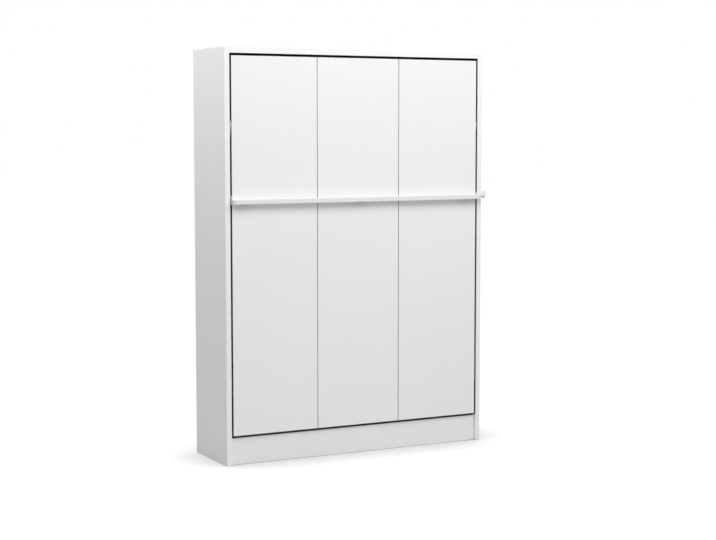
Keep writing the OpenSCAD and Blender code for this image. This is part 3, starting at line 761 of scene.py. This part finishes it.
def split_along_seams(index, a, b):
    """The grid's squares as triangles, each cut along the seam direction that is nearer."""
    corners = [index[:-1, :-1], index[:-1, 1:], index[1:, 1:], index[1:, :-1]]
    p, q, r, t = (c.reshape(-1) for c in corners)
    near = [np.abs(np.sin(math.pi * (k[:-1, :-1] + k[1:, 1:]) / 2)).reshape(-1) for k in (a, b)]
    rising = (near[0] < near[1])[:, None]
    first = np.where(rising, np.stack([p, q, t], -1), np.stack([p, q, r], -1))
    second = np.where(rising, np.stack([q, r, t], -1), np.stack([p, r, t], -1))
    return np.concatenate([first, second])


def quilting(rim, a, b, step):
    """How high the cloth puffs up at each grid point, and how much of it lies in a seam, where the
    ticking is darkened as painted shade. Seams run where a or b is a whole number, and one runs
    round at some steps from the rim."""
    wave_a, wave_b = np.abs(np.sin(math.pi * a)), np.abs(np.sin(math.pi * b))
    inner = smooth((rim - QUILT_START) / QUILT_FADE)
    puff = (wave_a * wave_b) ** FULLNESS * inner + PLAIN_HEIGHT * (1 - inner)
    seam = np.exp(-(np.minimum(wave_a, wave_b) / SEAM_WIDTH) ** 2) * inner
    line = rim - ROUND_STEPS * step
    seam = np.maximum(seam, np.exp(-(line / ROUND_LINE) ** 2))
    return puff - ROUND_DEPTH * np.exp(-(line / ROUND_HOLLOW) ** 2), seam


def mattress_mesh():
    """The mattress, with quilted top and underside and a ribbed border as one closed skin, and the
    two paths of its piping."""
    s = sizes()
    lo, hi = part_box("mattress")
    half_w, half_h = (hi.x - lo.x) / 2 - BORDER_ROOM, (hi.z - lo.z) / 2 - BORDER_ROOM
    mid_z = (hi.z + lo.z) / 2
    nx, nz = round(2 * half_w / s.grid_step), round(2 * half_h / s.grid_step)
    gx, gz = np.meshgrid(np.linspace(-half_w, half_w, nx + 1),
                         np.linspace(-half_h, half_h, nz + 1), indexing="ij")
    x, z = round_rect_map(gx, gz, half_w, half_h, CORNER_R)
    rim = np.minimum(half_w - np.abs(gx), half_h - np.abs(gz))
    # the seams run through grid points, so they stay straight in both directions
    i, j = np.indices(gx.shape)
    stride = round(s.quilt_step / s.grid_step)
    a, b = (i - nx // 2 + j - nz // 2) / stride, (i - nx // 2 - j + nz // 2) / stride
    puff, seam = quilting(rim, a, b, s.grid_step)
    edge = RIM_DROP * (1 - smooth(rim / RIM_WIDTH)) ** 2
    top = hi.y - SKIN - s.quilt_depth * (1 - puff) - edge
    for start, end in solids_of("mattress_straps"):
        beside = np.abs(mid_z + z - (start[2] + end[2]) / 2) - (end[2] - start[2]) / 2
        near = 1 - smooth(beside / STRAP_PRESS)
        top = top * (1 - near) + np.minimum(top, hi.y - STRAP_THICK - edge) * near
    low = lo.y + SKIN + UNDERSIDE * s.quilt_depth * (1 - puff) + edge
    verts = [np.stack([x, y, mid_z + z], -1).reshape(-1, 3) for y in (top, low)]
    seams = [seam.reshape(-1)] * 2
    index = np.arange((nx + 1) * (nz + 1)).reshape(nx + 1, nz + 1)
    sides = split_along_seams(index, a, b)
    faces = sides.tolist() + (sides[:, ::-1] + index.size).tolist()

    # the border: rows of points between the rims, moved outwards by bulge and ribs
    ring = np.concatenate([index[:-1, 0], index[-1, :-1], index[:0:-1, -1], index[0, :0:-1]])
    rim_x, rim_z, rim_top, rim_low = (v.reshape(-1)[ring] for v in (x, z, top, low))
    out = np.stack([rim_x / half_w, rim_z / half_h], -1)
    out = np.where(np.abs(out) > SIDE_FROM, np.sign(out), 0.0)
    out /= np.maximum(np.linalg.norm(out, axis=1, keepdims=True), 1e-9)
    run = np.arange(len(ring))
    rib = np.sin(run * math.pi / RIB_POINTS)
    layers = [ring]
    for row in range(1, BORDER_ROWS):
        share = row / BORDER_ROWS
        bulge = BULGE * math.sin(math.pi * share) ** 0.5
        outwards = bulge + (RIB_DEPTH * np.abs(rib) - RIB_DEPTH)
        verts.append(np.stack([rim_x + out[:, 0] * outwards, rim_top + (rim_low - rim_top) * share,
                               mid_z + rim_z + out[:, 1] * outwards], -1))
        # painted shade in the line between two ribs
        seams.append(np.exp(-(rib / RIB_LINE) ** 2) * RIB_SHADE)
        layers.append(2 * index.size + (row - 1) * len(ring) + run)
    layers.append(ring + index.size)
    for upper, lower in zip(layers, layers[1:]):
        faces += np.stack([upper, np.roll(upper, -1), np.roll(lower, -1), lower], -1).tolist()
    # the seam values are painted shade for the ticking's colour
    mesh = skin("mattress", np.concatenate(verts).tolist(), faces,
                seam=np.concatenate(seams).astype(np.float32))
    return mesh, [np.stack([rim_x, y, mid_z + rim_z], -1)
                  for y in (rim_top - PIPING_IN, rim_low + PIPING_IN)]


def tube_ring(name, path, r, sides=8):
    """A closed tube along a closed path that lies nearly flat in the XZ plane."""
    up = np.array((0, 1, 0))
    ahead = np.roll(path, -1, 0) - np.roll(path, 1, 0)
    ahead /= np.linalg.norm(ahead, axis=1, keepdims=True)
    across = np.cross(ahead, up)
    across /= np.linalg.norm(across, axis=1, keepdims=True)
    angles = [2 * math.pi * k / sides for k in range(sides)]
    return loft(name, [[tuple(p + r * (math.cos(a) * c + math.sin(a) * up)) for a in angles]
                       for p, c in zip(path, across)], closed=True)


def band_mesh(name, path, low_z, high_z, thickness):
    """A flat band along a path in the XY plane, with rounded long edges."""
    path = np.array(path)
    ahead = np.gradient(path, axis=0)
    ahead /= np.linalg.norm(ahead, axis=1, keepdims=True)
    normal = np.stack([-ahead[:, 1], ahead[:, 0]], -1)
    steps = np.concatenate([[0], np.cumsum(np.linalg.norm(np.diff(path, axis=0), axis=1))])
    half, e = thickness / 2, thickness * 0.45
    outline = [(-half * 0.5, low_z), (-half, low_z + e), (-half, high_z - e), (-half * 0.5, high_z),
               (half * 0.5, high_z), (half, high_z - e), (half, low_z + e), (half * 0.5, low_z)]
    rings = [[(p[0] + n[0] * offset, p[1] + n[1] * offset, z) for offset, z in outline]
             for p, n in zip(path, normal)]
    mesh = loft(name, rings, run=np.repeat(steps, len(outline)).astype(np.float32),
                cross=[z - low_z for _ in path for _, z in outline])
    mesh.set_sharp_from_angle(angle=STRAP_SHARP)
    return mesh


def joined(name, meshes):
    """One mesh of several, keeping their attributes."""
    bm = bmesh.new()
    for mesh in meshes:
        bm.from_mesh(mesh)
    return new_mesh(name, bm)


# Operators, one for each group of pieces

# The side panels' inner colour, painted shade in the side gaps, ends this far below the front
PAINTED_SHADE_BELOW = 6 * MM
# One slat: radius of its long edges, steps along it, and how its bend grows towards the middle
SLAT_ROUND, SLAT_STEPS, SLAT_BEND = 2.6 * MM, 20, 1.2
# The turn button's screw: size of its head, and from its front end the seat and the shank
BUTTON_SIZE, BUTTON_SEAT, BUTTON_SHANK, BUTTON_SHANK_R = 0.94, 2.7 * MM, 3 * MM, 2.5 * MM
# Shares of the steel and plastic rounds, on pins, on small mouldings and on the turn button
PIN_SHARE, SMALL_SHARE, BUTTON_SHARE = 1.4, 0.6, 1.6


class WALLBED_OT_finishes(bpy.types.Operator):
    """Make the finishes of boards, steel, plastic and cloth"""
    bl_idname = "wallbed.finishes"
    bl_label = "Finishes"

    def execute(self, context):
        make_finishes()
        return {"FINISHED"}


class WALLBED_OT_cabinet(bpy.types.Operator):
    """Make the cabinet's boards"""
    bl_idname = "wallbed.cabinet"
    bl_label = "Cabinet boards"

    def execute(self, context):
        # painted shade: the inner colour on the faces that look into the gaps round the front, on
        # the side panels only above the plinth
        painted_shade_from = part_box("front_panel_left")[0].z - PAINTED_SHADE_BELOW
        boards(["side_panel_left", "side_panel_right"],
               lambda place, normal: normal.x * place.x < 0 and abs(normal.x) > FACING
               and place.z > painted_shade_from, cut_z=painted_shade_from)
        boards(["top_panel"], lambda place, normal: normal.z < -FACING)
        boards(["plinth"], lambda place, normal: normal.z > PARTLY)
        boards(["base_panel", "back_rail_top", "headboard_panel", "back_rail_bottom",
                "stop_blocks"])
        return {"FINISHED"}


class WALLBED_OT_front(bpy.types.Operator):
    """Make the three front panels and the battens behind them"""
    bl_idname = "wallbed.front"
    bl_label = "Front"

    def execute(self, context):
        # painted shade: the inner colour on the front panels' edges and backs, which face the seams
        # and gaps
        boards(["front_panel_left", "front_panel_centre", "front_panel_right"],
               lambda place, normal: normal.y > -PARTLY)
        boards(["front_battens"])
        return {"FINISHED"}


class WALLBED_OT_bed_frame(bpy.types.Operator):
    """Make the bed frame's rails, ledgers and beam"""
    bl_idname = "wallbed.bed_frame"
    bl_label = "Bed frame"

    def execute(self, context):
        boards(["bed_rail_left", "bed_rail_right", "head_rail", "foot_rail", "slat_ledger_left",
                "slat_ledger_right", "centre_beam"])
        return {"FINISHED"}


class WALLBED_OT_slats(bpy.types.Operator):
    """Make the cambered slats and their caps in rows"""
    bl_idname = "wallbed.slats"
    bl_label = "Slats"

    def execute(self, context):
        for node in ("slats_left", "slats_right"):
            boxes = sorted(solids_of(node), key=lambda b: b[0][2])
            unit = linked("slat", self.slat(boxes[0], sizes().slat_camber))
            tree = row_tree(unit, FINISHES[SLOTS[node]])
            step = (0, 0, boxes[1][0][2] - boxes[0][0][2])
            mesh = grown(node, tree, {"Count": len(boxes), "Start": (0, 0, 0), "Step": step})
            bpy.data.objects.remove(unit)
            stand_in(node, "_row", mesh)
        rounded(["slat_caps_side", "slat_caps_centre"], sizes().plastic_round)
        return {"FINISHED"}

    @staticmethod
    def slat(box, camber):
        """One slat, bent up in the middle, with rounded long edges."""
        (x0, y0, z0), (x1, y1, z1) = box
        r, c = SLAT_ROUND, SLAT_ROUND * 0.3
        corners = [(y0, z0 + r), (y0 + c, z0 + c), (y0 + r, z0), (y1 - r, z0), (y1 - c, z0 + c),
                   (y1, z0 + r), (y1, z1 - r), (y1 - c, z1 - c), (y1 - r, z1), (y0 + r, z1),
                   (y0 + c, z1 - c), (y0, z1 - r)]
        rings = []
        for i in range(SLAT_STEPS + 1):
            share = i / SLAT_STEPS
            rise = camber * math.sin(math.pi * share) ** SLAT_BEND if 0 < i < SLAT_STEPS else 0.0
            rings.append([(x0 + (x1 - x0) * share, y + rise, z) for y, z in corners])
        mesh = loft("slat", rings)
        mesh.set_sharp_from_angle(angle=SHARP)
        return mesh


class WALLBED_OT_screws(bpy.types.Operator):
    """Put the screws on their plates, brackets and the leg"""
    bl_idname = "wallbed.screws"
    bl_label = "Screws"

    def execute(self, context):
        pan, sunk = pan_screw(), sunk_screw()
        zinc = FINISHES["zinc_steel"]
        pan_tree, sunk_tree = screw_tree(pan, zinc), screw_tree(sunk, zinc)
        for seed, node in enumerate(("bracket_screws", "pivot_screws", "hinge_screws")):
            stand_in(node, "_set", self.driven(node, pan_tree, seed))
        stand_in("leg_screws", "_set", self.driven("leg_screws", sunk_tree, 7))
        stand_in("turn_button_screw", "_set", self.button_screw(pan_tree))
        bpy.data.objects.remove(pan)
        bpy.data.objects.remove(sunk)
        return {"FINISHED"}

    @classmethod
    def driven(cls, node, tree, seed):
        points = [cls.head(box, node) for box in solids_of(node)]
        return grown(node, tree, {"Size": 1.0, "Seed": seed}, points)

    @staticmethod
    def button_screw(tree):
        """The turn button's screw: the pan head, slightly smaller, and a plain shank behind it."""
        low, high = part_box("turn_button_screw")
        middle, length = (low + high) / 2, high.y - low.y
        points = [((middle.x, low.y + BUTTON_SEAT, middle.z), (0, -1, 0))]
        head = grown("turn_button_screw", tree, {"Size": BUTTON_SIZE, "Seed": 9}, points)
        rod = lathe([(0, 0), (BUTTON_SHANK_R, 0), (BUTTON_SHANK_R, length - 4 * MM),
                     (0, length - 1 * MM)], 24)
        bmesh.ops.rotate(rod, cent=(0, 0, 0), matrix=Matrix.Rotation(-math.pi / 2, 3, "X"),
                         verts=rod.verts)
        bmesh.ops.translate(rod, vec=(middle.x, low.y + BUTTON_SHANK, middle.z), verts=rod.verts)
        return joined("turn button screw", [head, to_mesh(rod, "turn button screw shank")])

    @staticmethod
    def head(box, node):
        """The point on the face under a screw's head and the way the head looks."""
        low, high = Vector(box[0]), Vector(box[1])
        middle, size = (low + high) / 2, high - low
        outwards = 1.0 if middle.x > 0 else -1.0
        if node == "leg_screws":
            axis, way, thick = 0, outwards, 0.0
        elif size.x == max(size):
            axis, way, thick = 0, outwards if node == "hinge_screws" else -outwards, PAN_HIGH
        else:
            axis, way, thick = 2, 1.0 if middle.z < CABINET_MIDDLE else -1.0, PAN_HIGH
        place, aim = middle.copy(), [0.0, 0.0, 0.0]
        place[axis] = (high if way > 0 else low)[axis] - way * thick
        aim[axis] = way
        return tuple(place), tuple(aim)


class WALLBED_OT_ironwork(bpy.types.Operator):
    """Make the brackets, pivots, bushes, stops and glides"""
    bl_idname = "wallbed.ironwork"
    bl_label = "Pivots and brackets"

    def execute(self, context):
        s = sizes()
        rounded(["corner_brackets", "pivot_plate_left", "pivot_plate_right", "strut_plates",
                 "hinge_plate_left", "hinge_plate_right", "bed_strut_plates"], s.steel_round)
        rounded(["pivot_pin_left", "pivot_pin_right", "strut_bolts", "bed_strut_bolts",
                 "leg_studs", "leg_stud_caps"], s.steel_round * PIN_SHARE)
        rounded(["hinge_bush_left", "hinge_bush_right", "floor_glides", "stop_bumpers"],
                s.plastic_round * SMALL_SHARE)
        return {"FINISHED"}


class WALLBED_OT_struts(bpy.types.Operator):
    """Make the gas struts"""
    bl_idname = "wallbed.struts"
    bl_label = "Gas struts"

    def execute(self, context):
        rounded(["strut_tube_left", "strut_tube_right"], sizes().plastic_round, segments=3)
        rounded(["strut_rod_left", "strut_rod_right"], sizes().steel_round)
        return {"FINISHED"}


class WALLBED_OT_leg(bpy.types.Operator):
    """Make the swing-out leg with its bar"""
    bl_idname = "wallbed.leg"
    bl_label = "Leg and bar"

    def execute(self, context):
        rounded(["leg_arm_left", "leg_arm_right", "leg_crossbar"], sizes().steel_round)
        rounded(["crossbar_inserts", "leg_bushes", "foot_pads", "bar_bumpers"],
                sizes().plastic_round * SMALL_SHARE)
        return {"FINISHED"}


class WALLBED_OT_turn_button(bpy.types.Operator):
    """Make the turn button on the right side panel"""
    bl_idname = "wallbed.turn_button"
    bl_label = "Turn button"

    def execute(self, context):
        rounded(["turn_button"], sizes().plastic_round * BUTTON_SHARE, segments=3)
        return {"FINISHED"}


class WALLBED_OT_mattress(bpy.types.Operator):
    """Make the mattress and its two straps"""
    bl_idname = "wallbed.mattress"
    bl_label = "Mattress and straps"

    def execute(self, context):
        mesh, rims = mattress_mesh()
        cover = piece("mattress_cover", mesh, "bed", "ticking", "mattress")
        for label, rim in zip(("sleeping_side", "slat_side"), rims):
            piece("piping_" + label, tube_ring("piping", rim, sizes().piping_r), "bed", "ticking",
                  "mattress", finish="piping")
        self.straps()
        return {"FINISHED"}

    @staticmethod
    def straps():
        """Two bands over the mattress: up the left side, round a bend, across, and down again."""
        t, r = STRAP_THICK, STRAP_BEND
        bands = []
        for low, high in solids_of("mattress_straps"):
            x, top, bottom = high[0] - t / 2, high[1] - t / 2, low[1]
            left = [(-x, bottom), (-x, (bottom + top) / 2)]
            left += [(-x + r - r * math.cos(a), top - r + r * math.sin(a))
                     for a in np.linspace(0, math.pi / 2, 7)]
            across = [(c, top) for c in np.linspace(-x + 2 * r, x - 2 * r, 40)]
            path = left + across + [(-c, y) for c, y in reversed(left)]
            bands.append(band_mesh("strap", path, low[2], high[2], t))
        piece("mattress_straps_webbing", joined("straps", bands), "bed", "webbing",
              "mattress_straps")


# Name, power, place, aim and size of each lamp
LAMPS = [
    ("key", 148, (0.5, -3.7, 5.0), (0, 0, 1.2), (4.4, 3.0)),
    ("low", 55, (0.6, -3.9, 4.5), (0, 0, 1.2), (4.4, 3.0)),
    ("side", 32, (-2.4, 0.1, 3.4), (-0.8, 0, 1.2), (1.6, 1.6)),
]


class WALLBED_OT_stage(bpy.types.Operator):
    """Make the floor, the lights and the camera"""
    bl_idname = "wallbed.stage"
    bl_label = "Stage"

    def execute(self, context):
        stage = context.scene.wall_bed_stage
        self.floor()
        self.world(stage.ambient)
        for name, power, place, target, size in LAMPS:
            self.lamp(name, power * stage.lamps, place, target, size)
        self.camera(stage)
        context.scene.view_settings.view_transform = "Standard"
        return {"FINISHED"}

    @staticmethod
    def floor():
        bm = bmesh.new()
        bmesh.ops.create_grid(bm, x_segments=2, y_segments=2, size=FLOOR_HALF)
        obj = linked("floor", new_mesh("floor", bm))
        obj.data.materials.append(pale_floor())

    @staticmethod
    def world(strength):
        """Even light from all round for the bed, and plain white for the eye."""
        world = bpy.data.worlds.new("studio")
        bpy.context.scene.world = world
        world.use_nodes = True
        nodes, links = world.node_tree.nodes, world.node_tree.links
        mix = nodes.new("ShaderNodeMixShader")
        links.new(seen_rays(world.node_tree), mix.inputs[0])
        skies = ((nodes["Background"], strength), (nodes.new("ShaderNodeBackground"), 1.0))
        for socket, (sky, level) in enumerate(skies, 1):
            sky.inputs["Color"].default_value = grey(1)
            sky.inputs["Strength"].default_value = level
            links.new(sky.outputs[0], mix.inputs[socket])
        links.new(mix.outputs[0], nodes["World Output"].inputs["Surface"])

    @staticmethod
    def lamp(name, power, place, target, size):
        light = bpy.data.lights.new(name, "AREA")
        light.shape, light.size, light.size_y, light.energy = "RECTANGLE", size[0], size[1], power
        turn = (Vector(target) - Vector(place)).to_track_quat("-Z", "Y")
        linked(name, light).matrix_world = Matrix.Translation(place) @ turn.to_matrix().to_4x4()

    @staticmethod
    def camera(stage):
        data = bpy.data.cameras.new("camera")
        data.sensor_width, data.lens, data.clip_end = SENSOR_MM, stage.lens, SIGHT_END
        obj = linked("camera", data)
        obj.location = stage.camera
        obj.rotation_euler = (math.pi / 2 - stage.tilt, 0, -stage.turn)
        bpy.context.scene.camera = obj


# The floor: half its width, its grey for the light that it sends back, and for the eye its grey
# under the lamps and its own glow; then the reach and depth of the shade painted into the glow
# round the bed
FLOOR_HALF, FLOOR_GREY, FLOOR_SEEN, FLOOR_GLOW = 30, 0.62, 0.2, 0.95
SHADE_REACH, SHADE_DEPTH = 0.4, 0.8
# The camera's sensor width in millimetres, and how far it sees in metres
SENSOR_MM, SIGHT_END = 36.0, 200


def seen_rays(tree):
    """1 for camera, glossy and transmission rays, 0 for the light that falls on the bed."""
    path = tree.nodes.new("ShaderNodeLightPath")
    share = path.outputs["Is Camera Ray"]
    for name in ("Is Glossy Ray", "Is Transmission Ray"):
        either = tree.nodes.new("ShaderNodeMath")
        either.operation = "MAXIMUM"
        tree.links.new(share, either.inputs[0])
        tree.links.new(path.outputs[name], either.inputs[1])
        share = either.outputs[0]
    return share


def pale_floor():
    """A pale floor: pale grey for the light that it sends back, and for the eye white where it
    is lit and a soft grey round the bed: a faint real shadow in its lit share, and painted shade
    from ambient occlusion in its glow."""
    m = Finish("pale floor")
    speck = m.noise(40, 2)
    m.surface(m.blend(grey(FLOOR_GREY * 0.98), grey(FLOOR_GREY * 1.02), speck), 0.9,
              Specular_IOR_Level=0.0)
    lit = m.add("ShaderNodeBsdfDiffuse", {}, Color=grey(FLOOR_SEEN))
    # painted shade: ambient occlusion darkens the glow near the bed
    open_share = m.add("ShaderNodeAmbientOcclusion", {"samples": 8}, out="AO",
                       Distance=SHADE_REACH)
    glow = m.add("ShaderNodeEmission", {},
                 Strength=(1 - (1 - open_share) * SHADE_DEPTH) * FLOOR_GLOW)
    seen = m.add("ShaderNodeAddShader", {}, lit, glow)
    m.feed(m.output.inputs["Surface"],
           m.add("ShaderNodeMixShader", {}, Value(m, seen_rays(m.tree)),
                 Value(m, m.shader.outputs[0]), seen))
    return m.material


STEPS = [WALLBED_OT_finishes, WALLBED_OT_cabinet, WALLBED_OT_front, WALLBED_OT_bed_frame,
         WALLBED_OT_slats, WALLBED_OT_screws, WALLBED_OT_ironwork, WALLBED_OT_struts,
         WALLBED_OT_leg, WALLBED_OT_turn_button, WALLBED_OT_mattress, WALLBED_OT_stage]


class WALLBED_PT_panel(bpy.types.Panel):
    """The wall bed's settings and steps"""
    bl_label = "Wall bed"
    bl_idname = "WALLBED_PT_panel"
    bl_space_type = "VIEW_3D"
    bl_region_type = "UI"
    bl_category = "Wall bed"

    def draw(self, context):
        for group in (context.scene.wall_bed_colours, context.scene.wall_bed_sizes,
                      context.scene.wall_bed_stage):
            for name in group.__annotations__:
                self.layout.prop(group, name)
        for step in STEPS:
            self.layout.operator(step.bl_idname)


GROUPS = {"wall_bed_colours": WallBedColours, "wall_bed_sizes": WallBedSizes,
          "wall_bed_stage": WallBedStage}


def register():
    for name, group in GROUPS.items():
        bpy.utils.register_class(group)
        setattr(bpy.types.Scene, name, bpy.props.PointerProperty(type=group))
    for step in STEPS + [WALLBED_PT_panel]:
        bpy.utils.register_class(step)


def unregister():
    for step in reversed(STEPS + [WALLBED_PT_panel]):
        bpy.utils.unregister_class(step)
    for name, group in GROUPS.items():
        delattr(bpy.types.Scene, name)
        bpy.utils.unregister_class(group)


def main():
    register()
    for step in STEPS:
        group, name = step.bl_idname.split(".")
        getattr(getattr(bpy.ops, group), name)()


if __name__ == "__main__":
    main()
